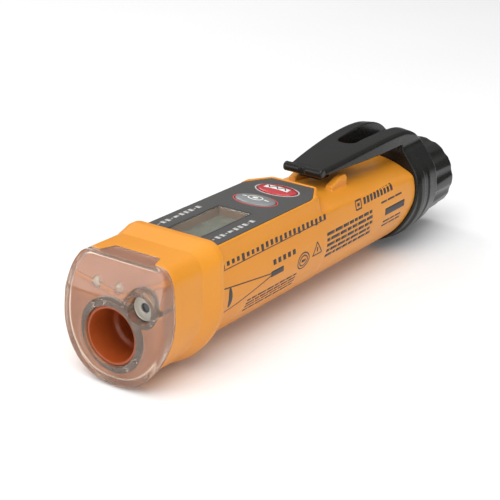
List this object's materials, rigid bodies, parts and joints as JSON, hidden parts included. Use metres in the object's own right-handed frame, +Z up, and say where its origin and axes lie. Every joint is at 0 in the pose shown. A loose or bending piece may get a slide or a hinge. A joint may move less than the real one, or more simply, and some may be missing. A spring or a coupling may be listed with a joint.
{
  "type": "non contact voltage tester",
  "caption": "Pen-shaped non contact voltage tester with infrared thermometer, clear nose lens, display, two push buttons, battery cap and pocket clip.",
  "frame": {"origin": "bottom centre of the bounding box, under the middle of the tester's length", "axes": "+X from the nose to the battery cap along the tester, +Y across, +Z up towards the display"},
  "size_m": [0.1765, 0.0358, 0.0417],
  "materials": {
    "clear_lens": "clear gloss",
    "orange_plastic": "satin",
    "orange_barrel": "satin",
    "black_rubber": "matte",
    "dark_rubber": "matte",
    "dark_glass": "polished",
    "bright_metal": "nickel plated",
    "gold_metal": "gold plated",
    "copper_sheet": "bare copper",
    "led_resin": "diffuse resin",
    "grey_overlay": "fine texture",
    "clear_window": "clear gloss",
    "tan_plastic": "satin",
    "lcd_glass": "gloss",
    "grey_button": "satin",
    "red_button": "gloss",
    "black_plastic": "satin",
    "green_board": "solder mask",
    "tan_ceramic": "ceramic",
    "cell_sleeve": "printed sleeve",
    "ivory_plastic": "satin"
  },
  "bodies": {
    "body": {"nose_lens": "clear_lens", "nose_housing": "orange_plastic", "nose_seal": "black_rubber", "ir_barrel": "orange_barrel", "ir_filter": "dark_glass", "ir_sensor": "bright_metal", "laser_module": "bright_metal", "laser_diode": "gold_metal", "indicator_leds": "led_resin", "sensing_antenna": "copper_sheet", "body_shell": "orange_plastic", "display_overlay": "grey_overlay", "display_window": "clear_window", "lcd_frame": "tan_plastic", "lcd_panel": "lcd_glass", "lcd_connectors": "dark_rubber", "switch_cases": "black_plastic", "main_board": "green_board", "controller_chip": "black_plastic", "amplifier_chip": "black_plastic", "chip_parts": "tan_ceramic", "buzzer": "black_plastic", "board_screws": "bright_metal", "front_contact_plate": "bright_metal", "front_contact_spring": "bright_metal", "battery_cell_1": "cell_sleeve", "battery_cell_2": "cell_sleeve", "cap_oring": "black_rubber", "clip_ring": "black_plastic"},
    "thermometer_button": {"ir_button": "grey_button", "ir_plunger": "black_plastic"},
    "voltage_button": {"ncv_button": "red_button", "ncv_plunger": "black_plastic"},
    "pocket_clip": {"clip_arm": "black_plastic"},
    "tail_contacts": {"contact_carrier": "ivory_plastic", "contact_strap": "bright_metal", "contact_spring": "bright_metal"},
    "cap": {"battery_cap": "black_plastic"}
  },
  "joints": [
    {"name": "thermometer_press", "type": "slide", "parent": "body", "child": "thermometer_button", "axis": [0, 0, -1], "range_m": [0, 0.0006], "stiffness_N_per_m": 800, "springref_m": -0.0005},
    {"name": "voltage_press", "type": "slide", "parent": "body", "child": "voltage_button", "axis": [0, 0, -1], "range_m": [0, 0.0006], "stiffness_N_per_m": 800, "springref_m": -0.0005},
    {"name": "clip_flex", "type": "hinge", "parent": "body", "child": "pocket_clip", "pos_m": [0.05675, 0, 0.0381], "axis": [0, 1, 0], "range_deg": [0, 6], "stiffness_Nm_per_rad": 3, "springref_deg": -1.15},
    {"name": "cap_draw", "type": "slide", "parent": "body", "child": "tail_contacts", "axis": [1, 0, 0], "range_m": [0, 0.0045]},
    {"name": "cap_turn", "type": "hinge", "parent": "tail_contacts", "child": "cap", "pos_m": [0.08, 0, 0.0168], "axis": [1, 0, 0], "range_deg": [0, 1080]}
  ],
  "couplings": [
    {"joint": "cap_draw", "follows": "cap_turn", "m_per_rad": 0.00023873}
  ]
}
